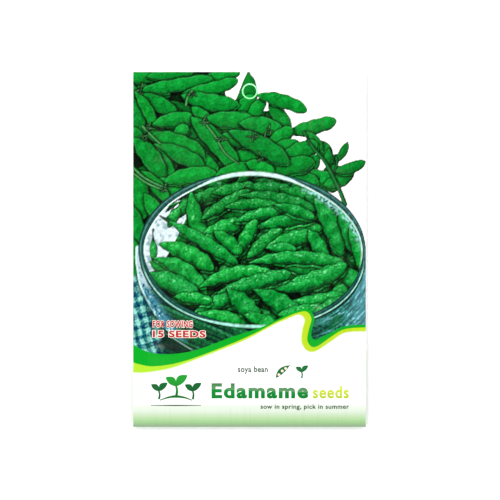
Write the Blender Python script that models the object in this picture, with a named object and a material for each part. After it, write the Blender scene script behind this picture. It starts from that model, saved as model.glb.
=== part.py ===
"""Seed packet: a flat sachet of two printed films, heat-sealed round all four edges, lying on its back.

Loose soybeans lie inside in one layer. The front film is drawn over them like a slack tent, the back film
lies flat under them, and the sealed border stands just clear of the surface.
Metres, +Z out of the printed front, +Y towards the header with the hang-hole mark. The origin is under the
packet's centre, on the surface that it lies on.
"""

import math
import random

import bmesh
import bpy
import numpy as np

# Driving dimensions
PACKET_WIDTH = 0.092
PACKET_HEIGHT = 0.1404
FILM_THICKNESS = 0.00012
TOUCH_GAP = 0.0003  # left between pieces that touch
SIDE_SEAL = 0.006
BOTTOM_SEAL = 0.008
HEADER_SEAL = 0.017  # wide enough for the hang-hole mark
SEAL_LIFT = 0.0012  # height of the sealed border above the surface
BELLY_RISE = 0.013  # width of the strip where the back film climbs to the border

BEAN_COUNT = 15
BEAN_LENGTH = 0.0088
BEAN_BREADTH = 0.0078
BEAN_THICKNESS = 0.0062
BEAN_SPREAD = (0.0275, 0.037)  # half width and half height of the oval that the beans lie in
BEAN_CENTRE = (0.0, -0.013)  # the beans have slid towards the bottom seal
BEAN_JITTER = 0.0012
BEAN_SEGMENTS = 12
BEAN_RINGS = 8

# How the front film is found
FRONT_STEPS = (28, 40)  # cells across and up the pouch
BACK_STEPS = (12, 18)
BEAN_CLEARANCE = 0.0009  # the film's flat facets keep this far from each bean
AIR_LIFT = 1.8e-5  # rise that trapped air gives each film point over the mean of its neighbours
RELAX_ROUNDS = 4000

SHARP_ANGLE = math.radians(40)
GOLDEN_ANGLE = math.pi * (3 - math.sqrt(5))
POUCH_LEFT = -PACKET_WIDTH / 2 + SIDE_SEAL
POUCH_RIGHT = PACKET_WIDTH / 2 - SIDE_SEAL
POUCH_BOTTOM = -PACKET_HEIGHT / 2 + BOTTOM_SEAL
POUCH_TOP = PACKET_HEIGHT / 2 - HEADER_SEAL
FRONT_SEAL_LEVEL = SEAL_LIFT + FILM_THICKNESS + TOUCH_GAP
BEAN_LEVEL = FILM_THICKNESS + TOUCH_GAP + BEAN_THICKNESS / 2


def clear_scene():
    for obj in list(bpy.data.objects):
        bpy.data.objects.remove(obj)


def make_material(name, colour, roughness):
    material = bpy.data.materials.new(name)
    material.use_nodes = True
    shader = material.node_tree.nodes["Principled BSDF"]
    shader.inputs["Base Color"].default_value = (*colour, 1.0)
    shader.inputs["Roughness"].default_value = roughness
    shader.inputs["Metallic"].default_value = 0.0
    return material


def bean_places():
    """Centre and turn of each bean: a sunflower spiral squeezed into an oval, each bean nudged a little."""
    nudge = random.Random(7)
    places = []
    for i in range(BEAN_COUNT):
        reach = math.sqrt((i + 0.5) / BEAN_COUNT)
        angle = i * GOLDEN_ANGLE
        x = BEAN_CENTRE[0] + BEAN_SPREAD[0] * reach * math.cos(angle) + nudge.uniform(-1, 1) * BEAN_JITTER
        y = BEAN_CENTRE[1] + BEAN_SPREAD[1] * reach * math.sin(angle) + nudge.uniform(-1, 1) * BEAN_JITTER
        places.append((x, y, nudge.uniform(0, math.pi)))
    return places


def pouch_lines(steps):
    """Grid lines across and up the packet: one cell over each seal, and even cells over the pouch."""
    xs = np.linspace(POUCH_LEFT, POUCH_RIGHT, steps[0] + 1)
    ys = np.linspace(POUCH_BOTTOM, POUCH_TOP, steps[1] + 1)
    xs = np.concatenate([[-PACKET_WIDTH / 2], xs, [PACKET_WIDTH / 2]])
    ys = np.concatenate([[-PACKET_HEIGHT / 2], ys, [PACKET_HEIGHT / 2]])
    return np.meshgrid(xs, ys, indexing="ij")


def bean_tops(xs, ys, places):
    """Height that the film keeps over the beans: the top of each bean grown on all sides, and 0 elsewhere."""
    tops = np.zeros_like(xs)
    for x, y, turn in places:
        along = (xs - x) * math.cos(turn) + (ys - y) * math.sin(turn)
        across = (ys - y) * math.cos(turn) - (xs - x) * math.sin(turn)
        reach = (along / (BEAN_LENGTH / 2 + BEAN_CLEARANCE)) ** 2
        reach += (across / (BEAN_BREADTH / 2 + BEAN_CLEARANCE)) ** 2
        dome = (BEAN_THICKNESS / 2 + BEAN_CLEARANCE) * np.sqrt(np.clip(1 - reach, 0, None))
        tops = np.maximum(tops, np.where(reach < 1, BEAN_LEVEL + dome, 0))
    return tops


def front_heights(xs, ys, places):
    """Underside of the front film: level on the seals, and stretched over the beans and the trapped air between."""
    floor = np.maximum(bean_tops(xs, ys, places), FRONT_SEAL_LEVEL)
    z = np.full_like(xs, FRONT_SEAL_LEVEL)
    for _ in range(RELAX_ROUNDS):
        mean = (z[1:-3, 2:-2] + z[3:-1, 2:-2] + z[2:-2, 1:-3] + z[2:-2, 3:-1]) / 4
        z[2:-2, 2:-2] = np.maximum(mean + AIR_LIFT, floor[2:-2, 2:-2])
    return z


def back_heights(xs, ys):
    """Underside of the back film: flat on the surface, climbing in a soft S to the sealed border."""
    inside = np.minimum(
        np.minimum(xs - POUCH_LEFT, POUCH_RIGHT - xs),
        np.minimum(ys - POUCH_BOTTOM, POUCH_TOP - ys),
    )
    share = np.clip(inside / BELLY_RISE, 0, 1)
    return SEAL_LIFT * (1 - share * share * (3 - 2 * share))


def film_object(name, xs, ys, zs, material):
    """A sheet through the grid's points, raised by the film's thickness into a closed solid."""
    across, up = xs.shape
    points = np.stack([xs, ys, zs], axis=-1).reshape(-1, 3)
    faces = []
    for i in range(across - 1):
        for j in range(up - 1):
            corner = i * up + j
            faces.append((corner, corner + up, corner + up + 1, corner + 1))
    mesh = bpy.data.meshes.new(name)
    mesh.from_pydata(points.tolist(), [], faces)
    bm = bmesh.new()
    bm.from_mesh(mesh)
    raised = bmesh.ops.extrude_face_region(bm, geom=bm.faces[:])["geom"]
    upper_side = [item for item in raised if isinstance(item, bmesh.types.BMVert)]
    bmesh.ops.translate(bm, verts=upper_side, vec=(0, 0, FILM_THICKNESS))
    bmesh.ops.recalc_face_normals(bm, faces=bm.faces[:])
    bm.to_mesh(mesh)
    bm.free()
    mesh.materials.append(material)
    mesh.shade_smooth()
    mesh.set_sharp_from_angle(angle=SHARP_ANGLE)
    bpy.context.scene.collection.objects.link(bpy.data.objects.new(name, mesh))


def bean_mesh(material):
    """One soybean lying on its side: an ellipsoid with a slightly flattened back where the hilum is."""
    mesh = bpy.data.meshes.new("soybean")
    bm = bmesh.new()
    bmesh.ops.create_uvsphere(bm, u_segments=BEAN_SEGMENTS, v_segments=BEAN_RINGS, radius=0.5)
    for vertex in bm.verts:
        flattening = 1 - 0.12 * max(0.0, 2 * vertex.co.y) ** 2
        vertex.co.x *= BEAN_LENGTH
        vertex.co.y *= BEAN_BREADTH * flattening
        vertex.co.z *= BEAN_THICKNESS
    bm.to_mesh(mesh)
    bm.free()
    mesh.materials.append(material)
    mesh.shade_smooth()
    return mesh


def add_beans(places, material):
    mesh = bean_mesh(material)
    for number, (x, y, turn) in enumerate(places, start=1):
        bean = bpy.data.objects.new(f"soybean_{number:02d}", mesh)
        bean.location = (x, y, BEAN_LEVEL)
        bean.rotation_euler = (0, 0, turn)
        bpy.context.scene.collection.objects.link(bean)


def build():
    clear_scene()
    front_print = make_material("front_print", (0.02, 0.36, 0.05), 0.3)
    back_print = make_material("back_print", (0.85, 0.87, 0.83), 0.35)
    bean_skin = make_material("bean_skin", (0.62, 0.55, 0.24), 0.45)

    places = bean_places()
    xs, ys = pouch_lines(FRONT_STEPS)
    film_object("front_film", xs, ys, front_heights(xs, ys, places), front_print)
    xs, ys = pouch_lines(BACK_STEPS)
    film_object("back_film", xs, ys, back_heights(xs, ys), back_print)
    add_beans(places, bean_skin)


build()
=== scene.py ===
import math

import bmesh
import bpy
import numpy as np
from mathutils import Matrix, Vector


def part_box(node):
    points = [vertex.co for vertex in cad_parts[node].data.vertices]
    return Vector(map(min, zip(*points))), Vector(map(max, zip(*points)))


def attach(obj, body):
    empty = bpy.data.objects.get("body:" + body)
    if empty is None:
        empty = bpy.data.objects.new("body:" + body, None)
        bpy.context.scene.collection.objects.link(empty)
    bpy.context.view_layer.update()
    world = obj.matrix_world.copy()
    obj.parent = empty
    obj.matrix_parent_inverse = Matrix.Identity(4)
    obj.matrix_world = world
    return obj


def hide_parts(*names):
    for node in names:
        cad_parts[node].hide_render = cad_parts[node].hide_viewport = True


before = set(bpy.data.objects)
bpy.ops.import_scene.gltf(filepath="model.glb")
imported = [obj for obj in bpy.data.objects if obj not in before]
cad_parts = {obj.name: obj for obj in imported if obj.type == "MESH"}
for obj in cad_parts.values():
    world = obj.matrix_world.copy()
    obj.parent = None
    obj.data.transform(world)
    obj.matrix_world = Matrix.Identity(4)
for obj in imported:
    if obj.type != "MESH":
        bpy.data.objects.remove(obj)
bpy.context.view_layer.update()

# Everything printed is laid out in millimetres from the packet's centre; mm turns that into metres.
mm = 0.001
farOff = 9.0    # distance that stands for no line near


def linear(*levels):
    # screen levels 0 to 255 as linear light
    v = np.asarray(levels, float) / 255
    return np.where(v <= 0.04045, v / 12.92, ((v + 0.055) / 1.055) ** 2.4)


def soft(value, low, high):
    # S curve, 0 at low and 1 at high
    t = np.clip((value - low) / (high - low), 0, 1)
    return t * t * (3 - 2 * t)


def ridge(value, middle, width):
    # bell curve, 1 at the middle
    return np.exp(-np.square((value - middle) / width))


def mixed(a, b, share):
    # one colour turned into another by share; a tuple is a colour in screen levels
    a, b = (linear(*v) if isinstance(v, tuple) else v for v in (a, b))
    return a + (b - a) * np.asarray(share)[..., None]


def unit(*v):
    return np.array(v) / np.linalg.norm(v)


def circle(count):
    # cosines and sines of angles spaced evenly once round
    turn = np.arange(count) * 2 * math.pi / count
    return np.cos(turn), np.sin(turn)


class Wire:
    # one socket of a node tree; an operator on it adds the Math or Vector Math node that works it out
    def __init__(self, tree, socket=None):
        self.tree, self.socket = tree, socket

    def make(self, kind, settings=None, sockets=None, out=0):
        node = self.tree.nodes.new(kind)
        for key, value in (settings or {}).items():
            if key == "stops":
                ramp = node.color_ramp.elements
                while len(ramp) < len(value):
                    ramp.new(1.0)
                for stop, (place, colour) in zip(ramp, value):
                    stop.position, stop.color = place, (*colour, 1)
            else:
                setattr(node, key, value)
        for key, value in (sockets or {}).items():
            if isinstance(value, Wire):
                self.tree.links.new(value.socket, node.inputs[key])
            else:
                node.inputs[key].default_value = value
        return Wire(self.tree, node.outputs[out])

    def maths(self, operation, *values):
        vector = any(isinstance(v, Wire) and v.socket.type == "VECTOR" for v in values)
        kind = "ShaderNodeVectorMath" if vector else "ShaderNodeMath"
        if vector:
            values = [v if isinstance(v, Wire) or np.ndim(v) else (v, v, v) for v in values]
        return self.make(kind, {"operation": operation}, dict(enumerate(values)))

    def __add__(self, other):
        return self.maths("ADD", self, other)

    def __sub__(self, other):
        return self.maths("SUBTRACT", self, other)

    def __rsub__(self, other):
        return self.maths("SUBTRACT", other, self)

    def __mul__(self, other):
        return self.maths("MULTIPLY", self, other)

    def __truediv__(self, other):
        return self.maths("DIVIDE", self, other)

    __radd__ = __add__
    __rmul__ = __mul__

    def wave(self):
        return self.maths("SINE", self)

    def step(self, low, high):
        # S curve of a value, 0 at low and 1 at high; low may be above high
        ends = {0: self, 1: low, 2: high, 3: 0.0, 4: 1.0}
        return self.make("ShaderNodeMapRange", {"interpolation_type": "SMOOTHSTEP"}, ends)

    def blend(self, low, high, share):
        # one colour turned into another by share, each of them a wire or three levels of light
        low, high = (colour if isinstance(colour, Wire) else (*colour, 1) for colour in (low, high))
        return self.make("ShaderNodeMix", {"data_type": "RGBA"}, {0: share, 6: low, 7: high}, 2)

    def tint(self, other, share):
        return self.blend(self, other, share)

    def noise(self, scale, detail=2.0):
        sockets = {"Vector": self, "Scale": scale, "Detail": detail}
        return self.make("ShaderNodeTexNoise", {"noise_dimensions": "3D"}, sockets)

    def part(self, axis):
        return self.make("ShaderNodeSeparateXYZ", None, {0: self}, "XYZ".index(axis))


def newMaterial(name, constants):
    # a material, its start wire, and a function that feeds its Principled shader
    material = bpy.data.materials.new(name)
    material.use_nodes = True
    tree = material.node_tree
    shader = tree.nodes["Principled BSDF"]
    for key, value in constants.items():
        shader.inputs[key].default_value = value
    start = Wire(tree)

    def feed(key, wire):
        tree.links.new(wire.socket, shader.inputs[key])

    return material, start, feed


def objectPlace(start):
    return start.make("ShaderNodeTexCoord", None, None, "Object")


def attribute(start, name, out="Fac"):
    return start.make("ShaderNodeAttribute", {"attribute_name": name}, None, out)


def bump(start, height, distance):
    return start.make("ShaderNodeBump", None, {"Height": height, "Distance": distance, "Strength": 1.0})


def closedMesh(name, points, faces):
    # mesh from points in millimetres, its faces turned to look outwards
    mesh = bpy.data.meshes.new(name)
    mesh.from_pydata(points * mm, [], faces)
    bm = bmesh.new()
    bm.from_mesh(mesh)
    bmesh.ops.recalc_face_normals(bm, faces=bm.faces[:])
    bm.to_mesh(mesh)
    bm.free()
    return mesh


def addPiece(name, mesh, slot, *stoodFor):
    obj = bpy.data.objects.new(name, mesh)
    bpy.context.scene.collection.objects.link(obj)
    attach(obj, "root")
    if stoodFor:
        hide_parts(*stoodFor)
    return obj


film = {
    "thickness": 0.12,
    "sideSeal": 6.0,
    "bottomSeal": 8.0,
    "headerSeal": 17.0,
    "bellyRise": 13.0,      # strip where the back film climbs to the border
    "roughStep": 1.0,       # cell of the sheet that is relaxed
    "airLift": 2.2e-3,      # rise over the mean of its neighbours that trapped air gives each point
    "rounds": 5000,
    "firstRise": 5.0,       # of the sheet in its middle before the rounds
    "firstReach": 30.0,
    "beanClearance": 0.35,
    "puckers": 0.16,        # height of the gathers beside the seals
    "puckerPitch": 9.0,
    "puckerReach": 4.0,     # from the seal to where they are highest
    "waviness": 0.10,
    "ribPitch": 1.3,        # of the seal bar's ribs
    "pictureFoot": -50.0,   # below the picture the front needs no fine rows
    "frontCells": (256, 16, 332),   # across, up to the picture's foot, and above it
    "backCells": (104, 160),
    "hiddenRatio": 4,       # how much coarser the side behind the print is
    "sharpAngle": math.radians(50),
}

frontLow, frontHigh = (np.array(corner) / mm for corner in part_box("front_film"))
backLow, backHigh = (np.array(corner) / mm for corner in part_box("back_film"))
beanNames = sorted(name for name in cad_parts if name.startswith("soybean_"))
beanBoxes = [[np.array(corner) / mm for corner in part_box(name)] for name in beanNames]
halfWide, halfHigh = frontHigh[0], frontHigh[1]
sealTop = frontLow[2] + film["thickness"]
pouch = {
    "left": -halfWide + film["sideSeal"], "right": halfWide - film["sideSeal"],
    "bottom": -halfHigh + film["bottomSeal"], "top": halfHigh - film["headerSeal"],
}


def pouchInset(x, y):
    # distance from the nearest seal into the pouch, negative on the seals
    across = np.minimum(x - pouch["left"], pouch["right"] - x)
    return np.minimum(across, np.minimum(y - pouch["bottom"], pouch["top"] - y))


def cubicWeights(fine, coarse):
    # matrix that carries values at the even places in coarse to the places in fine, by cubic pieces
    step = coarse[1] - coarse[0]
    t = np.abs((fine[:, None] - coarse[None, :]) / step)
    near = 1.5 * t ** 3 - 2.5 * t ** 2 + 1
    far = -0.5 * t ** 3 + 2.5 * t ** 2 - 4 * t + 2
    weights = np.where(t < 1, near, np.where(t < 2, far, 0))
    return weights / weights.sum(1, keepdims=True)


def relaxedFilm():
    # heights of a slack sheet over the beans: each point rises to the mean of its neighbours plus the air's
    # lift, and never sinks into the bean under it; the sheet is held level round the seals
    xs = np.linspace(-halfWide, halfWide, round(2 * halfWide / film["roughStep"]) + 1)
    ys = np.linspace(-halfHigh, halfHigh, round(2 * halfHigh / film["roughStep"]) + 1)
    x, y = np.meshgrid(xs, ys, indexing="ij")
    floor = np.full(x.shape, sealTop)
    for low, high in beanBoxes:
        middle, half = (low + high) / 2, (high - low) / 2 + film["beanClearance"] + film["thickness"]
        reach = ((x - middle[0]) / half[0]) ** 2 + ((y - middle[1]) / half[1]) ** 2
        dome = middle[2] + half[2] * np.sqrt(np.clip(1 - reach, 0, 1))
        floor = np.maximum(floor, np.where(reach < 1, dome, 0))
    free = pouchInset(x, y)[1:-1, 1:-1] > 0
    z = np.full(x.shape, sealTop)
    rise = film["firstRise"] * soft(pouchInset(x, y)[1:-1, 1:-1], 0, film["firstReach"])
    z[1:-1, 1:-1] += np.where(free, rise, 0)
    for _ in range(film["rounds"]):
        mean = (z[:-2, 1:-1] + z[2:, 1:-1] + z[1:-1, :-2] + z[1:-1, 2:]) / 4
        z[1:-1, 1:-1] = np.where(free, np.maximum(mean + film["airLift"], floor[1:-1, 1:-1]), sealTop)
    return xs, ys, z


def gathers(along, inset, seed):
    # folds that run in from a seal: a wave of wandering pitch along it, high near it and gone further in
    draw = np.random.default_rng(seed)
    wander = sum(
        draw.uniform(0.3, 1.0) * np.sin(2 * math.pi * along / draw.uniform(17, 45) + draw.uniform(0, 6.28))
        for _ in range(4)
    )
    strength = 0.55 + 0.45 * np.sin(2 * math.pi * along / 31 + draw.uniform(0, 6.28))
    wave = np.sin(2 * math.pi * along / film["puckerPitch"] + 1.6 * wander)
    fall = np.clip(inset, 0, None) / film["puckerReach"]
    return wave * strength * fall * np.exp(1 - fall)


def frontTop(x, y, rough):
    # printed face of the front film: the relaxed sheet, the gathers beside each seal and a slow waviness
    xs, ys, z = rough
    top = cubicWeights(x, xs) @ z @ cubicWeights(y, ys).T
    gx, gy = np.meshgrid(x, y, indexing="ij")
    inset = pouchInset(gx, gy)
    folds = gathers(gy, gx - pouch["left"], 1) + gathers(gy, pouch["right"] - gx, 2)
    folds += gathers(gx, gy - pouch["bottom"], 3) + gathers(gx, pouch["top"] - gy, 4)
    ends = soft(inset, 0, 3)
    slow = grain(gx, gy, 13, 51) + 0.5 * grain(gx, gy, 6, 52)
    top = top + ends * (film["puckers"] * folds + film["waviness"] * slow)
    return np.where(inset > 0, np.maximum(top, sealTop), sealTop)


def backBottom(x, y):
    # printed face of the back film: flat on the table, climbing in an S to the border
    gx, gy = np.meshgrid(x, y, indexing="ij")
    rise = 1 - soft(pouchInset(gx, gy), 0, film["bellyRise"])
    return (backHigh[2] - film["thickness"]) * rise


def sheetShell(name, x, y, z, side):
    # closed thin sheet: a fine grid on the printed side, a coarser grid behind it, and a wall of polygons
    # that joins the two; side is 1 where the print faces up and -1 where it faces down
    across, up, ratio = len(x), len(y), film["hiddenRatio"]
    gx, gy = np.meshgrid(x, y, indexing="ij")
    raised = z * side
    lowest = raised.copy()
    for shift in range(1, ratio + 1):
        for axis in (0, 1):
            padded = np.pad(lowest, [(1, 1) if a == axis else (0, 0) for a in (0, 1)], mode="edge")
            count = lowest.shape[axis]
            lowest = np.minimum(
                lowest, np.minimum(padded.take(range(count), axis), padded.take(range(2, count + 2), axis))
            )
    hidden = lowest[::ratio, ::ratio] - film["thickness"]
    fine = np.stack([gx, gy, z], -1).reshape(-1, 3)
    rough = np.stack([gx[::ratio, ::ratio], gy[::ratio, ::ratio], hidden * side], -1).reshape(-1, 3)
    index = np.arange(across * up).reshape(across, up)
    under = len(fine) + np.arange(len(rough)).reshape(hidden.shape)

    def quads(grid):
        return np.stack([grid[:-1, :-1], grid[1:, :-1], grid[1:, 1:], grid[:-1, 1:]], -1).reshape(-1, 4)

    faces = quads(index).tolist() + quads(under)[:, ::-1].tolist()
    wall = [-1] * len(faces)
    for number, (fineEdge, roughEdge) in enumerate((
        (index[::-1, 0], under[::-1, 0]), (index[-1, ::-1], under[-1, ::-1]),
        (index[:, -1], under[:, -1]), (index[0, :], under[0, :]),
    )):
        for i in range(len(roughEdge) - 1):
            run = fineEdge[i * ratio:(i + 1) * ratio + 1].tolist()
            faces.append(run + [roughEdge[i + 1], roughEdge[i]])
            wall.append(number)
    if side < 0:
        faces = [face[::-1] for face in faces]
    points = np.concatenate([fine, rough])
    mesh = closedMesh(name, points, faces)
    # the printed side fills the left of the UV square; the side behind it and the four walls lie at the right
    corner, count = np.zeros(len(mesh.loops), np.int32), np.zeros(len(mesh.polygons), np.int32)
    mesh.loops.foreach_get("vertex_index", corner)
    mesh.polygons.foreach_get("loop_total", count)
    uv = ((points[:, :2] + [halfWide, halfHigh]) / (2 * halfHigh))[corner]
    wall, behind = np.repeat(wall, count), corner >= len(fine)
    run = np.where(wall % 2, uv[:, 1], uv[:, 0])
    strip = np.stack([0.70 + 0.25 * run, 0.60 + 0.04 * wall + 0.02 * behind], -1)
    uv = np.where(behind[:, None], uv * 0.45 + [0.68, 0.02], uv)
    uv = np.where((wall >= 0)[:, None], strip, uv)
    mesh.uv_layers.new(name="print").data.foreach_set("uv", uv.ravel().astype(np.float32))
    mesh.shade_smooth()
    mesh.set_sharp_from_angle(angle=film["sharpAngle"])
    return mesh


def addAttribute(mesh, name, values, blank, kind="FLOAT"):
    # values for the printed side's points, and blank for all the points behind it
    full = np.full((len(mesh.vertices),) + values.shape[1:], blank, np.float32)
    full[:len(values)] = values
    layer = mesh.attributes.new(name, kind, "POINT")
    layer.data.foreach_set("color" if kind == "FLOAT_COLOR" else "value", full.ravel())


def grain(x, y, size, seed):
    # value noise from -1 to 1: random numbers on a turned lattice of that size, joined by S curves
    draw = np.random.default_rng(seed)
    table = draw.uniform(-1, 1, (64, 64))
    turn = draw.uniform(0.3, 1.2)
    gx = (x * math.cos(turn) - y * math.sin(turn)) / size + 300
    gy = (x * math.sin(turn) + y * math.cos(turn)) / size + 300
    ix, iy = gx.astype(int), gy.astype(int)
    fx, fy = soft(gx - ix, 0, 1), soft(gy - iy, 0, 1)

    def corner(i, j):
        return table[(ix + i) % 64, (iy + j) % 64]

    low = corner(0, 0) * (1 - fx) + corner(1, 0) * fx
    high = corner(0, 1) * (1 - fx) + corner(1, 1) * fx
    return low * (1 - fy) + high * fy


# Skin of the pods. Colours are screen levels, "from" points to the light, and a look with a glint is wet.
heapLook = {
    "deep": (0, 88, 28), "mid": (0, 140, 42), "light": (14, 172, 60), "rim": (68, 166, 92), "rimShare": 0.64,
    "line": 0.55, "mottle": 0.11, "fine": 0.22, "hump": 0.20, "round": 0.78, "swell": 0.055,
    "deepBand": (0.28, 0.66), "lightBand": (0.72, 1.0), "taper": (1.9, 3.0), "sharp": (0.7, 1.15),
    "shadow": (0.35, -0.5), "shadowReach": 0.9, "shadowDepth": 0.95, "from": unit(-0.30, 0.42, 0.86),
}
bowlLook = {
    "deep": (0, 70, 24), "mid": (0, 142, 46), "light": (40, 184, 80), "rim": (60, 170, 88), "rimShare": 0.4,
    "line": 0.6, "mottle": 0.20, "fine": 0.32, "hump": 0.30, "round": 0.92, "swell": 0.08,
    "deepBand": (0.12, 0.64), "lightBand": (0.62, 0.98), "taper": (1.6, 2.6), "sharp": (0.75, 1.15),
    "shadow": (0.2, -0.8), "shadowReach": 1.0, "shadowDepth": 0.85, "from": unit(-0.22, 0.5, 0.84),
    "glint": (116, 232, 148),
}

# Pods from the farthest to the nearest: x, y of the middle, turn in degrees from the thin end to the stout
# one, length, width, bend and how many beans. No bean makes a leaf.
heapPods = [
    (-45, 68, 4, 21, 5.6, 0.3, 2), (-31.5, 69.6, 7, 19, 5.6, 0.4, 2), (-11.0, 68.6, 14, 15, 5.2, 0.4, 2),
    (-38.6, 62.4, -12, 15, 4.8, 0.3, 2), (-29, 65.2, 9, 29, 5.2, -0.5, 3),
    (-15.5, 64.0, 13, 23, 5.2, -1.0, 3), (-2.5, 55.5, 50, 14, 6.5, 0.4, 2), (-7.5, 52.0, 4, 16, 5.0, 0.4, 2),
    (-45.6, 60.5, -75, 12, 4.4, 0.5, 2), (-36.4, 57.4, -26, 17, 6.0, 0.7, 2),
    (-15.8, 58.8, -9, 23, 6.8, -1.0, 3), (-44.4, 51.4, -81, 18, 5.0, 0.9, 3),
    (-41.0, 55.2, -62, 18, 4.4, 1.0, 3), (-30.4, 51.0, 9, 17, 5.8, 0.5, 2), (-27.0, 46.9, 30, 6.5, 4.8, 0, 1),
    (-18.8, 53.0, -40, 11, 4.4, 0.3, 2), (12.0, 51.0, -64, 18, 6.2, 1.5, 2), (2.8, 55.0, 58, 11, 5.4, 0.3, 2),
    (13.0, 58.3, -18, 21, 5.6, 0.9, 3), (-5.2, 46.8, -4, 18, 5.0, 0.5, 2), (-7.4, 51.0, -3, 21, 6.6, 0.6, 3),
    (4.4, 48.6, -11, 18, 7.0, 0.8, 2), (-14.0, 46.4, -40, 8, 3.8, 0.2, 1), (24.8, 48.4, 15, 20, 6.0, -0.3, 3),
    (-10.4, 40.6, -28, 9, 5.4, 0.3, 1), (-2.0, 36.4, 20, 13, 6.6, 0.3, 2), (-4.0, 43.2, -4, 19, 6.2, 0.6, 2),
    (-21.0, 37.0, 12, 9, 6.0, 0.2, 1), (-18.0, 34.5, -40, 14, 6.0, 0.3, 2),
    (-34.4, 42.4, -42, 13, 5.8, 0.3, 2), (-29.0, 41.6, -20, 24, 7.4, 0.9, 3),
    (-28.0, 37.4, -24, 22, 6.4, 0.3, 3), (12.0, 43.8, 40, 13, 6.0, 0.4, 2),
    (25.2, 42.6, -58, 10, 5.0, 0.4, 1), (14.9, 40.8, 6, 11, 5.4, 0.2, 1), (19.2, 38.2, 24, 17, 8.0, -0.5, 2),
    (24.6, 33.0, 62, 10, 5.4, 0.2, 1), (-13.6, 42.3, -48, 28, 7.2, 0.7, 3),
    (28.6, 27.4, -24, 15, 7.2, 0.4, 2), (18.4, 28.4, -12, 18, 6.0, 0.3, 2), (13.0, 33.2, 5, 25, 7.0, -1.2, 3),
    (3.6, 41.0, -28, 27, 7.4, 0.9, 3), (-43.6, 42.6, -64, 14, 5.4, 0.4, 2),
    (-34.0, 34.0, -58, 16, 5.0, 0.7, 2), (-40.0, 36.4, -54, 21, 7.4, 1.5, 3),
    (-30.2, 24.0, -40, 14, 5.4, 0.4, 2), (-23.4, 28.7, 9, 21, 6.4, 0.8, 3), (-6.0, 31.0, 14, 16, 5.6, 0.4, 2),
    (4.0, 32.4, -20, 12, 5.0, 0.3, 2), (-44.8, 29.4, -36, 14, 4.2, 0.3, 2),
    (-37.4, 25.4, -48, 16, 5.2, 0.5, 2), (-43.2, 21.6, -84, 20, 6.4, 0.6, 3),
    (-45.4, 9.6, -78, 17, 6.2, 0.6, 2), (-38.6, 17.2, -60, 12, 5.6, 0.2, 1),
    (-45.4, -3.6, -84, 17, 5.6, 0.3, 2), (35.5, 28.0, 28, 14, 5.4, -1.6, 2),
]
bowlPods = [
    (-16, 21, 20, 19, 5.2, 0.5, 3), (-6, 23.5, 8, 19, 5.0, 0.3, 3), (8, 24, -6, 20, 5.0, 0.4, 3),
    (21, 21.5, -16, 19, 5.4, 0.6, 3), (-25, 16.6, 40, 15, 5.0, 0.4, 2), (29, 16, -38, 18, 6.0, 0.4, 3),
    (33, 5, -70, 20, 6, 0.8, 3), (-20.5, 13.0, -72, 21, 6.4, -1.6, 3), (-9.5, 17.7, 31, 22, 4.6, 0.4, 3),
    (11.4, 19.0, -11, 31, 5.2, 1.6, 4), (1.2, 17.2, 1, 22, 4.6, 1.0, 3), (-11.2, 8.2, 19, 16, 6.6, -0.6, 2),
    (20, 7.5, 8, 18, 5, 0.4, 3), (3.6, 13.4, 13, 20, 4.8, 0.5, 3), (-30, 12.4, 60, 9, 4.0, 0.2, 1),
    (14.2, 10.8, 10, 25, 5.2, 0.9, 3), (17.6, 15.2, -18, 17, 4.4, 0.4, 2), (-14, 1, -60, 13, 5, 0.4, 2),
    (-1.8, 3.4, 62, 19, 5.0, 0.5, 3), (5.8, 2.4, 40, 18, 5.2, 0.6, 3), (31.6, 9.6, -64, 24, 7.6, 1.6, 3),
    (38.6, 8.0, -70, 20, 6.0, 1.0, 3), (16.8, 3.6, 14, 22, 6.2, 0.8, 3), (26.8, 1.8, -60, 14, 5.6, 0.4, 2),
    (12.4, 0.4, -4, 12, 4.4, 0.3, 1), (-8.6, 3.0, -40, 14, 5.2, 0.3, 2), (42.4, 0.6, -72, 17, 4.8, 0.7, 2),
    (-18.4, 3.0, -32, 33, 5.1, 0.5, 4), (-24.8, -2.2, -25, 24, 6.6, 1.6, 3),
    (-38.0, 0.2, -88, 10, 3.0, 0.2, 1), (39.4, -11.0, -38, 17, 6.4, 0.5, 2),
    (35.6, -17.6, 66, 8, 6.0, 0.1, 1), (24.2, -8.4, -8, 22, 5.0, 0.5, 3), (19.0, -4.6, -1, 39, 5.3, 2.6, 4),
    (-32.0, -8.6, -30, 17, 6.4, 0.8, 2), (-27.0, -9.4, -34, 26, 6.4, 3.0, 3),
    (-30.2, -14.2, -26, 25, 8.0, 1.4, 3), (26.4, -19.8, 9, 22, 5.0, -0.6, 3),
    (24.0, -11.6, 18, 31, 7.0, -1.8, 4), (-5.2, -11.0, 10, 30, 5.6, 3.0, 4),
    (1.8, -13.2, 15, 30, 6.0, 0.3, 4), (-13.2, -21.2, 23, 19, 5.2, 0.4, 3),
    (-22.0, -19.4, -8, 15, 4.6, 0.3, 2), (-10.8, -27.0, -10, 21, 5.2, 0.8, 3),
    (11.0, -20.8, -30, 22, 7.2, 0.7, 3), (-2.2, -22.0, -46, 19, 7.2, 0.5, 3),
    (21.0, -24.6, 6, 20, 5.6, 0.3, 3), (5.6, -28.6, -22, 17, 5.6, 0.4, 2), (31.6, -22.6, 24, 14, 5.4, 0.3, 2),
]
leaves = [
    (29.0, 39.4, -38, 10, 6.0, 0.6, 0), (33.0, 33.6, 70, 9, 4.4, 0.3, 0), (34.0, 30.6, -12, 10, 5.6, 0.3, 0),
    (36.8, 38.6, -120, 9.5, 3.4, 0.4, 0), (40.0, 32.6, -162, 13, 4.6, 0.6, 0),
    (31.0, 36.6, -100, 7, 3.2, 0.2, 0),
]
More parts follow.
